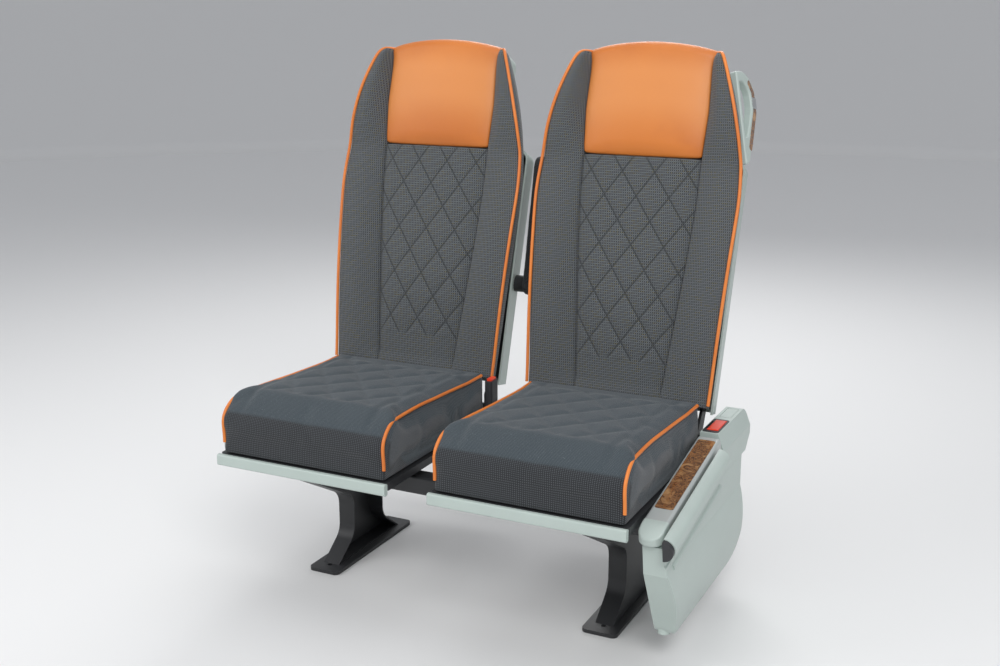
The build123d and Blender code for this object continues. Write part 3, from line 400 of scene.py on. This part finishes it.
def burl(name):
    """Glossy burl veneer."""
    wood = Finish(name, roughness=0.22, Coat_Weight=1.0, Coat_Roughness=0.05)
    place = wood.place()
    warp = wood.node("TexNoise", Vector=place, Scale=34.0, Detail=4.0, Distortion=1.6)
    swirl = wood.node("TexWave", Vector=warp.outputs["Color"], Scale=3.2, Distortion=7.0, Detail=4.0)
    eyes = wood.node("TexVoronoi", Vector=place, Scale=120.0)
    colour = wood.mix(swirl.outputs["Fac"], (0.075, 0.027, 0.009, 1), (0.30, 0.135, 0.048, 1))
    colour = wood.mix(wood.band(eyes.outputs["Distance"], 0.16, 0.04), colour, (0.030, 0.011, 0.004, 1))
    wood.colour(wood.mix(wood.band(warp.outputs["Fac"], 0.50, 0.72), colour, (0.46, 0.255, 0.105, 1)))
    return wood.material


def coated_steel(name):
    """Dark powder coat over steel."""
    steel = Finish(name, roughness=0.45, Metallic=0.0)
    place = steel.place()
    peel = steel.noise(place, 600.0, 2.0)
    steel.colour(steel.mix(steel.noise(place, 8.0), (0.016, 0.017, 0.019, 1), (0.030, 0.031, 0.033, 1)))
    steel.feed(steel.shader.inputs["Roughness"], steel.maths("MULTIPLY_ADD", peel, 0.2, 0.34))
    steel.bump(peel, 0.00015, 0.7)
    return steel.material


def polished(name):
    """Bright plate with a faint brushed grain."""
    metal = Finish(name, roughness=0.12, Metallic=1.0)
    place = metal.place()
    fine = metal.noise(place, 300.0, 2.0)
    metal.colour(metal.mix(fine, (0.62, 0.63, 0.64, 1), (0.78, 0.79, 0.80, 1)))
    metal.feed(metal.shader.inputs["Roughness"], metal.maths("MULTIPLY_ADD", fine, 0.12, 0.06))
    return metal.material


GREY_GREEN = (0.470, 0.545, 0.510)
finishes = {
    "fabric": woven("bolster_cloth"),
    # The leather's third colour is the paler painted highlight across the headrest's middle.
    "leather": hide(
        "orange_leather", (0.64, 0.190, 0.028, 1), (0.57, 0.158, 0.022, 1), (0.74, 0.285, 0.080, 1)
    ),
    "grey_plastic": moulded("grey_plastic", GREY_GREEN),
    "steel": coated_steel("coated_steel"),
    "dark_plastic": moulded("dark_plastic", (0.030, 0.031, 0.034), 0.5, 700.0, 0.00015),
    "rubber": moulded("rubber_foam", (0.018, 0.018, 0.019), 0.8, 500.0, 0.0004),
    "chrome": polished("bright_plate"),
    "arm_silver": moulded("arm_silver", (0.42, 0.45, 0.44), 0.28, 900.0, 0.00004, 0.3),
    "wood": burl("burl_veneer"),
    "orange_plastic": moulded("orange_plastic", (0.86, 0.050, 0.012), 0.3, 900.0, 0.00003, 0.4),
    "arm_fabric": plain_cloth("arm_cloth"),
}
quilt_cloth = woven("panel_cloth", quilted=True)
cushion_cloth = seat_cloth("cushion_cloth")
welt = hide("welt_leather", (0.80, 0.235, 0.040, 1), (0.68, 0.18, 0.028, 1))

for subpart in frame["record"]["subparts"]:
    node = nodes[subpart["node"]]
    finish = finishes[subpart["material_slot"]]
    for held in node.material_slots:
        held.link = "OBJECT"
        held.material = finish


# Soft pieces


def placed(name, data):
    """New object in the scene, around a mesh, a curve, a light or a camera."""
    made = bpy.data.objects.new(name, data)
    bpy.context.scene.collection.objects.link(made)
    return made


def dress(piece, finish):
    """Give a piece one finish and smooth faces."""
    piece.data.materials.clear()
    piece.data.materials.append(finish)
    for face in piece.data.polygons:
        face.use_smooth = True


def new_piece(name, mesh, finish, body):
    """Object in the scene that rides on a body."""
    piece = placed(name, mesh)
    dress(piece, finish)
    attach(piece, body)
    return piece


def grid_mesh(name, rows, uvs):
    """Mesh over rows of points, with a closed loop in each row and a cap at each end."""
    form = bmesh.new()
    layer = form.loops.layers.uv.new("weave")
    made = [[form.verts.new(point) for point in row] for row in rows]
    count = len(rows[0])
    for low in range(len(rows) - 1):
        for start in range(count):
            end = (start + 1) % count
            corners = ((low, start), (low, end), (low + 1, end), (low + 1, start))
            face = form.faces.new([made[row][column] for row, column in corners])
            for loop, (row, column) in zip(face.loops, corners):
                loop[layer].uv = uvs[row][column]
    form.faces.new(list(reversed(made[0])))
    form.faces.new(made[-1])
    bmesh.ops.recalc_face_normals(form, faces=form.faces)
    mesh = bpy.data.meshes.new(name)
    form.to_mesh(mesh)
    form.free()
    return mesh


def subdivide(piece, levels=1):
    """Smooth a piece by subdivision."""
    modifier = piece.modifiers.new("smooth", "SUBSURF")
    modifier.levels = levels
    modifier.render_levels = levels


def bolster_half(height):
    """(across, behind, cloth across) down one side of a back, from its hidden middle to its rear."""
    edge = table_value(OUTLINE, height)
    seam = min(table_value(SEAM, height), edge - 0.007)
    roll = top_roll(height)
    points = [
        (0, PAD_MIDDLE, 0),
        (seam - 0.006, PAD_MIDDLE, seam - 0.02),
        (seam - 0.001, PAD_MIDDLE - 0.006, seam - 0.009),
    ]
    steps = 14
    for step in range(steps + 1):
        share = step / steps
        across = seam + (edge - 0.002 - seam) * share
        slope = math.sin(min(share / 0.72, 1) * math.pi / 2)
        valley = SEAM_DEPTH * (1 - slope) * (0.4 + 0.6 * foot_share(height))
        crown = BOLSTER_CROWN * math.sin(math.pi * share) ** 0.8
        points.append((across, valley - crown - swell(height) * slope + roll, across))
    depth = SIDE_DEPTH
    front = -swell(height) + roll
    for step in range(1, 8):
        share = step / 7
        behind = front + 0.002 + (depth - 0.002 - front) * share
        inset = SIDE_INSET * max(behind, 0) / SIDE_DEPTH
        bulge = 0.0025 * math.sin(math.pi * share)
        across = max(edge - inset + bulge, 0.0)
        points.append((across, behind, edge + behind - front))
    points.append((max(edge - SIDE_INSET - 0.02, 0), depth, edge + depth + 0.03))
    return points


def mirrored(half):
    """Whole loop of a back's cross-section, from one side's (across, behind, cloth across)."""
    return half + [(-across, behind, -run) for across, behind, run in reversed(half[1:])]


def back_pad(seat):
    """Bolstered pad of a back, with the piping along its outer edges."""
    heights = [OUTLINE[0][0] + 0.010 * step for step in range(72)]
    heights += [-0.0132, 0.709, 0.713, 0.717, 0.720, 0.7225, 0.7240]
    heights.sort()
    rows, uvs = [], []
    for height in heights:
        loop = mirrored(bolster_half(height))
        row = [back_place(seat, across, height, behind) for across, behind, _ in loop]
        rows.append(row)
        uvs.append([(run, height) for _, _, run in loop])
    for end, height in ((0, heights[0] - END_STEP), (len(rows), heights[-1] + END_STEP)):
        half = [(across, max(behind, PAD_END), run) for across, behind, run in bolster_half(height)]
        loop = mirrored(half)
        rows.insert(end, [back_place(seat, across, height, behind) for across, behind, _ in loop])
        uvs.insert(end, [(run, height + math.copysign(0.02, height)) for _, _, run in loop])
    mesh = grid_mesh(f"pad_{seat}", rows, uvs)
    pad = new_piece(f"pad_{seat}", mesh, finishes["fabric"], BACKS[seat])
    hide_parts(f"back_pad_{seat}")
    subdivide(pad)
    for side, name in ((1, "right"), (-1, "left")):
        path = []
        for height in [-0.008 + 0.028 * step for step in range(25)] + [0.690, 0.704, 0.713, 0.719, 0.7235]:
            edge = table_value(OUTLINE, height)
            behind = top_roll(height) - swell(height) - 0.001
            path.append(back_place(seat, side * (edge + 0.0005), height, behind))
        path.append(back_place(seat, side * (table_value(SEAM, 0.726) - 0.003), 0.7238, 0.024))
        piping(f"piping_{name}_{seat}", path, BACKS[seat])


def piping(name, path, body, radius=PIPING_RADIUS, finish=None):
    """Cord along a path: a leather welt, if not told otherwise."""
    curve = bpy.data.curves.new(name, "CURVE")
    curve.dimensions = "3D"
    curve.bevel_depth = radius
    curve.bevel_resolution = 4
    curve.use_fill_caps = True
    spline = curve.splines.new("NURBS")
    spline.points.add(len(path) - 1)
    for point, place in zip(spline.points, path):
        point.co = (*place, 1)
    spline.order_u = 3
    spline.use_endpoint_u = True
    spline.resolution_u = 4
    cord = placed(name, curve)
    curve.materials.append(finish or welt)
    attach(cord, body)
    return cord


def quilt_puff(across, height):
    """Share of the quilting's full height at a place: 0 on a stitch line."""
    nearest = 1.0
    for sign in (1, -1):
        phase = across / QUILT_ACROSS + sign * height / QUILT_ALONG
        nearest = min(nearest, abs(phase - round(phase)))
    return 1 - math.exp(-nearest / 0.13)


def padded_sheet(name, sheet, thickness, finish, body):
    """Closed pad from a front surface: rows of (point, inward direction, uv)."""
    rows = [[point for point, _, _ in row] for row in sheet]
    backs = [[point + inward * thickness for point, inward, _ in row] for row in sheet]
    uvs = [[uv for _, _, uv in row] for row in sheet]
    loops, loop_uvs = [], []
    for row, back, uv in zip(rows, backs, uvs):
        loops.append(row + list(reversed(back)))
        loop_uvs.append(uv + list(reversed(uv)))
    mesh = grid_mesh(name, loops, loop_uvs)
    piece = new_piece(name, mesh, finish, body)
    return piece


def back_panel(seat):
    """Quilted centre panel."""
    behind_way = back_place(seat, 0, 0, 1) - back_place(seat, 0, 0, 0)
    sheet = []
    count = 150
    for step in range(count + 1):
        height = -0.014 + (HEADREST_FOOT + 0.0135) * step / count
        half = table_value(SEAM, height) + 0.0005
        row = []
        for column in range(65):
            share = -1 + 2 * column / 64
            across = half * share
            edge = max(1 - abs(share) ** 8, 0)
            end = min((HEADREST_FOOT - height) / 0.008, 1)
            crown = PANEL_CROWN * (1 - share * share)
            lumbar = LUMBAR * math.exp(-(((height - LUMBAR_HEIGHT) / 0.11) ** 2)) * (1 - share * share)
            puff = QUILT_PUFF * quilt_puff(across, height) * edge
            if height < QUILT_FOOT:
                puff = QUILT_PUFF * 0.6 * edge
            sink = 0.005 * (1 - edge) * foot_share(height)
            sink += 0.003 * (1 - math.sin(max(end, 0) * math.pi / 2))
            behind = PANEL_FRONT * (0.5 + 0.5 * foot_share(height)) - crown - lumbar - puff + sink
            row.append((back_place(seat, across, height, behind), behind_way, (across, height)))
        sheet.append(row)
    name = f"panel_{seat}"
    panel = padded_sheet(name, sheet, PANEL_THICKNESS, quilt_cloth, BACKS[seat])
    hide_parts(f"back_panel_{seat}")


def headrest(seat):
    """Leather pad that rolls over the top of the back."""
    sheet = []
    roll = TOP_ROLL
    straight = 34
    arc = 12
    rear = 8
    columns = 40
    for step in range(straight + arc + rear + 1):
        row = []
        for column in range(columns + 1):
            share = -1 + 2 * column / columns
            top = CROWN + 0.003 - 0.0175 * share**2
            crown = 0.0095 * (1 - share * share) + 0.0035
            edge_sink = 0.006 * abs(share) ** 8
            if step <= straight:
                rise = step / straight
                height = HEADREST_FOOT + (top - roll - HEADREST_FOOT) * rise
                bulge = math.sin(math.pi * min(rise * 1.05, 1)) * 0.006
                seam_rise = min(rise / 0.16, 1)
                crown *= 0.3 + 0.7 * math.sin(seam_rise * math.pi / 2)
                foot_sink = 0.003 * (1 - min(rise * 12, 1)) ** 2
                behind = 0.0085 - crown - bulge * (1 - share * share) + edge_sink + foot_sink
                behind += 0.0035 * rise**3
                inward = (0, 1)
            elif step <= straight + arc:
                turn = (step - straight) / arc * math.pi / 2
                start = 0.008 - crown + edge_sink + 0.004
                height = top - roll + roll * math.sin(turn)
                behind = start + roll * (1 - math.cos(turn))
                inward = (-math.sin(turn), math.cos(turn))
            else:
                run = (step - straight - arc) / rear
                start = 0.012 - crown + edge_sink + roll
                behind = start + (0.0465 - start) * run
                height = top - 0.013 * run * run
                inward = (-1, 0)
            tuck = 0.003 * min(max((height - 0.680) / 0.030, 0), 1)
            across = (table_value(SEAM, min(height, CROWN)) + tuck) * share
            place = back_place(seat, across, height, behind)
            ahead = back_place(seat, across, height + inward[0], behind + inward[1]) - place
            row.append((place, ahead, (across, height + behind)))
        sheet.append(row)
    name = f"headrest_pad_{seat}"
    leather = finishes["leather"]
    rest = padded_sheet(name, sheet, LEATHER_THICKNESS, leather, BACKS[seat])
    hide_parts(f"headrest_{seat}")
    subdivide(rest)


for seat in SEATS:
    back_pad(seat)
    back_panel(seat)
    headrest(seat)


# Cushions


def simulate(source, name, voxel, pressure, cap, shrink, smoothing):
    """Copy of a CAD solid, blown up as padding: remesh, Cloth with pressure, capped and applied."""
    mesh = source.data.copy()
    puffed = placed(name, mesh)
    bpy.context.view_layer.objects.active = puffed
    middle = sum((vertex.co for vertex in mesh.vertices), Vector()) / len(mesh.vertices)
    for vertex in mesh.vertices:
        vertex.co += (middle - vertex.co).normalized() * shrink
    remesh = puffed.modifiers.new("even", "REMESH")
    remesh.mode = "VOXEL"
    remesh.voxel_size = voxel
    apply_modifiers(puffed)
    still = [vertex.co.copy() for vertex in puffed.data.vertices]
    cloth = puffed.modifiers.new("padding", "CLOTH")
    cloth.settings.use_pressure = True
    cloth.settings.uniform_pressure_force = pressure
    cloth.settings.effector_weights.gravity = 0
    cloth.settings.quality = 4
    cloth.settings.mass = 0.3
    cloth.settings.tension_stiffness = 12
    cloth.settings.compression_stiffness = 12
    cloth.collision_settings.use_collision = False
    cloth.point_cache.frame_start = 1
    cloth.point_cache.frame_end = 20
    scene = bpy.context.scene
    for step in range(1, 21):
        scene.frame_set(step)
    apply_modifiers(puffed)
    scene.frame_set(1)
    foot = min(start.z for start in still)
    for vertex, start in zip(puffed.data.vertices, still):
        moved = vertex.co - start
        allowed = cap * min((start.z - foot) / FOOT_BAND, 1)
        if moved.length > allowed:
            vertex.co = start + moved.normalized() * allowed
    settle = puffed.modifiers.new("settle", "SMOOTH")
    settle.factor = 0.5
    settle.iterations = smoothing
    apply_modifiers(puffed)
    return puffed


def apply_modifiers(piece):
    """Turn a piece's modifiers into its mesh."""
    graph = bpy.context.evaluated_depsgraph_get()
    made = bpy.data.meshes.new_from_object(piece.evaluated_get(graph))
    piece.modifiers.clear()
    old = piece.data
    piece.data = made
    bpy.data.meshes.remove(old)


def cushion(seat):
    """Blown-up copy of a seat's cushion, still without its quilting."""
    source = nodes[f"cushion_{seat}"]
    name = f"seat_pad_{seat}"
    pad = simulate(source, name, voxel=0.006, pressure=4.0, cap=0.010, shrink=0.003, smoothing=12)
    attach(pad, CARRIERS[seat])
    return pad


def clamp_cushion(pad, seat):
    """Keep a cushion inside its sides and on its pan, square its rear edge and quilt its top."""
    centre = SEATS[seat]
    low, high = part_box(f"cushion_{seat}")
    for vertex in pad.data.vertices:
        place = vertex.co
        across = place.x - centre
        limit = CUSHION_HALF + CUSHION_SIDE_ROOM
        if abs(across) > limit:
            place.x = centre + math.copysign(limit, across)
        place.z = max(place.z, low.z)
        place.y = min(max(place.y, low.y - 0.004), high.y + 0.003)
    pad.data.update()
    normals = [vertex.normal.copy() for vertex in pad.data.vertices]
    top = CUSHION_TOP + 0.0015
    for vertex, normal in zip(pad.data.vertices, normals):
        place = vertex.co
        back = max((place.y - (high.y - REAR_EDGE)) / REAR_EDGE, 0)
        up = max((place.z - (top - REAR_EDGE)) / REAR_EDGE, 0)
        share = min(max((place.y - 0.035) / 0.035, 0), 1) * min(max((0.8 - abs(normal.x)) / 0.4, 0), 1)
        if share and (back or up):
            reach = (back**6 + up**6) ** (1 / 6)
            if back:
                place.y += (back / reach - back) * REAR_EDGE * share
            if up:
                place.z += (up / reach - up) * REAR_EDGE * share
    for vertex, normal in zip(pad.data.vertices, normals):
        across = abs(vertex.co.x - centre)
        flat = min(max((normal.z - 0.5) / 0.3, 0), 1)
        front = (vertex.co.y - (CUSHION_FRONT + QUILT_BORDER)) / QUILT_FADE
        rear = (QUILT_REAR - vertex.co.y) / QUILT_FADE
        run = max(min((QUILT_HALF - across) / 0.01, rear, front, 1), 0)
        groove = 1 - quilt_puff(across * 0.8, vertex.co.y * 0.9)
        vertex.co.z -= GROOVE_DEPTH * groove * run * flat
        seam = abs(across - QUILT_HALF)
        if seam < SEAM_HALF:
            vertex.co.z -= SEAM_PINCH * (1 - seam / SEAM_HALF) * flat
    dress(pad, cushion_cloth)
    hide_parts(f"cushion_{seat}")
    subdivide(pad)


def on_surface(tree, place):
    """Place moved to just above the nearest point of a surface."""
    found = tree.find_nearest(place)
    return found[0] + found[1] * 0.0018


def eased(path, rounds):
    """Path with its bends smoothed and its ends kept."""
    for _ in range(rounds):
        middle = [(a + 2 * b + c) / 4 for a, b, c in zip(path, path[1:], path[2:])]
        path = [path[0]] + middle + [path[-1]]
    return path


def cushion_piping(pad, seat):
    """Welts along a cushion's side edges, from the back over the front."""
    tree = BVHTree.FromObject(pad, bpy.context.evaluated_depsgraph_get())
    for side, name in ((1, "right"), (-1, "left")):
        edge_x = SEATS[seat] + side * (CUSHION_HALF - 0.001)
        outline = [(0.090 - 0.016 * step, CUSHION_TOP + 0.001 * step) for step in range(24)]
        nose_y = CUSHION_FRONT + NOSE_RADIUS
        nose_z = CUSHION_TOP - NOSE_DROP
        for step in range(1, 8):
            turn = step / 8 * math.pi / 2
            outline.append((nose_y - NOSE_RADIUS * math.sin(turn), nose_z + NOSE_RADIUS * math.cos(turn)))
        outline += [(CUSHION_FRONT + 0.001 * step, nose_z - 0.009 * step) for step in range(8)]
        path = [Vector((edge_x, y, z)) for y, z in outline]
        for _ in range(5):
            path = eased([on_surface(tree, place) for place in path], 4)
        path = eased([on_surface(tree, place) for place in path], 1)
        steady = eased(path, 40)
        path = [Vector((soft.x, place.y, place.z)) for soft, place in zip(steady, path)]
        piping(f"cushion_piping_{name}_{seat}", path, CARRIERS[seat])


first = cushion("window")
second = placed("seat_pad_aisle", first.data.copy())
for vertex in second.data.vertices:
    vertex.co.x += SEATS["aisle"] - SEATS["window"]
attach(second, CARRIERS["aisle"])
for pad, seat in ((first, "window"), (second, "aisle")):
    clamp_cushion(pad, seat)
    cushion_piping(pad, seat)

source = nodes["middle_armrest"]
arm = simulate(source, "middle_arm_pad", voxel=0.004, pressure=3.0, cap=0.003, shrink=0.002, smoothing=8)
dress(arm, finishes["arm_fabric"])
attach(arm, "middle_armrest")
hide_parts("middle_armrest")
subdivide(arm)


# Hems on the pockets, and the light line across the armrest's inlay

POCKET_HALF = 0.150
POCKET_HIGH = 0.215
POCKET_CORNER = 0.020
POCKET_REAR = 0.142
for seat in SEATS:
    hem = []
    for side in (-1, 1):
        for step in range(9):
            turn = (step if side < 0 else 8 - step) / 8 * math.pi / 2
            across = POCKET_HALF - POCKET_CORNER * (1 - math.cos(turn))
            height = POCKET_HIGH - POCKET_CORNER * (1 - math.sin(turn))
            hem.append(back_place(seat, side * across, height, POCKET_REAR - 0.0015))
    piping(f"pocket_hem_{seat}", hem, BACKS[seat], HEM_RADIUS, finishes["rubber"])

low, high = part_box("armrest_inlay")
line = []
for step in range(17):
    turn = (step / 16 - 0.5) * math.pi * 0.8
    share = 0.5 + 0.5 * math.sin(turn) / math.sin(0.4 * math.pi)
    y = low.y + 0.030 - 0.012 * math.cos(turn)
    slope = (high.z - low.z) / (high.y - low.y)
    z = low.z + (y - low.y) * slope + 0.0012
    line.append(Vector((low.x + 0.003 + (high.x - low.x - 0.006) * share, y, z)))
piping("inlay_line", line, "aisle_armrest", INLAY_LINE_RADIUS, finishes["arm_silver"])


# Floor, light and camera


def aim(holder, place, target):
    """Put a lamp or the camera at a place, looking at a target."""
    holder.location = place
    holder.rotation_euler = (Vector(target) - Vector(place)).to_track_quat("-Z", "Y").to_euler()


# The floor is round and bends up into a wall on every side
floor_mesh = bpy.data.meshes.new("floor")
FLOOR_FLAT = 9.0
FLOOR_BEND = 14.0
FLOOR_SIDES = 96
form = bmesh.new()
rings = []
for step in range(25):
    bend = step / 24 * math.pi / 2
    radius = FLOOR_FLAT + FLOOR_BEND * math.sin(bend)
    z = FLOOR_BEND * (1 - math.cos(bend))
    turns = [2 * math.pi * side / FLOOR_SIDES for side in range(FLOOR_SIDES)]
    rings.append([form.verts.new((radius * math.cos(turn), radius * math.sin(turn), z)) for turn in turns])
form.faces.new(rings[0])
for low, high in zip(rings, rings[1:]):
    for side in range(FLOOR_SIDES):
        after = (side + 1) % FLOOR_SIDES
        face = form.faces.new((low[side], low[after], high[after], high[side]))
        face.smooth = True
form.to_mesh(floor_mesh)
form.free()
floor = placed("floor", floor_mesh)
stage = Finish("pale_floor", roughness=0.75)
stage.colour((0.78, 0.78, 0.775, 1))
floor_mesh.materials.append(stage.material)

world = bpy.data.worlds.new("studio")
bpy.context.scene.world = world
world.use_nodes = True
background = world.node_tree.nodes["Background"]
background.inputs["Color"].default_value = (0.93, 0.95, 1.0, 1)
background.inputs["Strength"].default_value = 0.55

# Each lamp: name, place, power in watts, size in metres
LAMPS = (
    ("key", (1.9, -2.6, 2.9), 75.0, 1.8),
    ("fill", (-2.4, -2.0, 1.9), 34.0, 2.2),
    ("rim", (-0.6, 2.6, 2.7), 42.0, 1.8),
    ("over", (0.2, 0.0, 3.2), 16.0, 2.4),
)
for name, place, power, size in LAMPS:
    lamp = bpy.data.lights.new(name, "AREA")
    lamp.energy = power
    lamp.size = size
    aim(placed(name, lamp), place, LAMP_TARGET)

lens = bpy.data.cameras.new("view")
lens.lens = CAMERA_LENS
lens.sensor_width = 36.0
camera = placed("view", lens)
aim(camera, CAMERA_PLACE, CAMERA_TARGET)
bpy.context.scene.camera = camera
bpy.context.scene.view_settings.view_transform = "Standard"
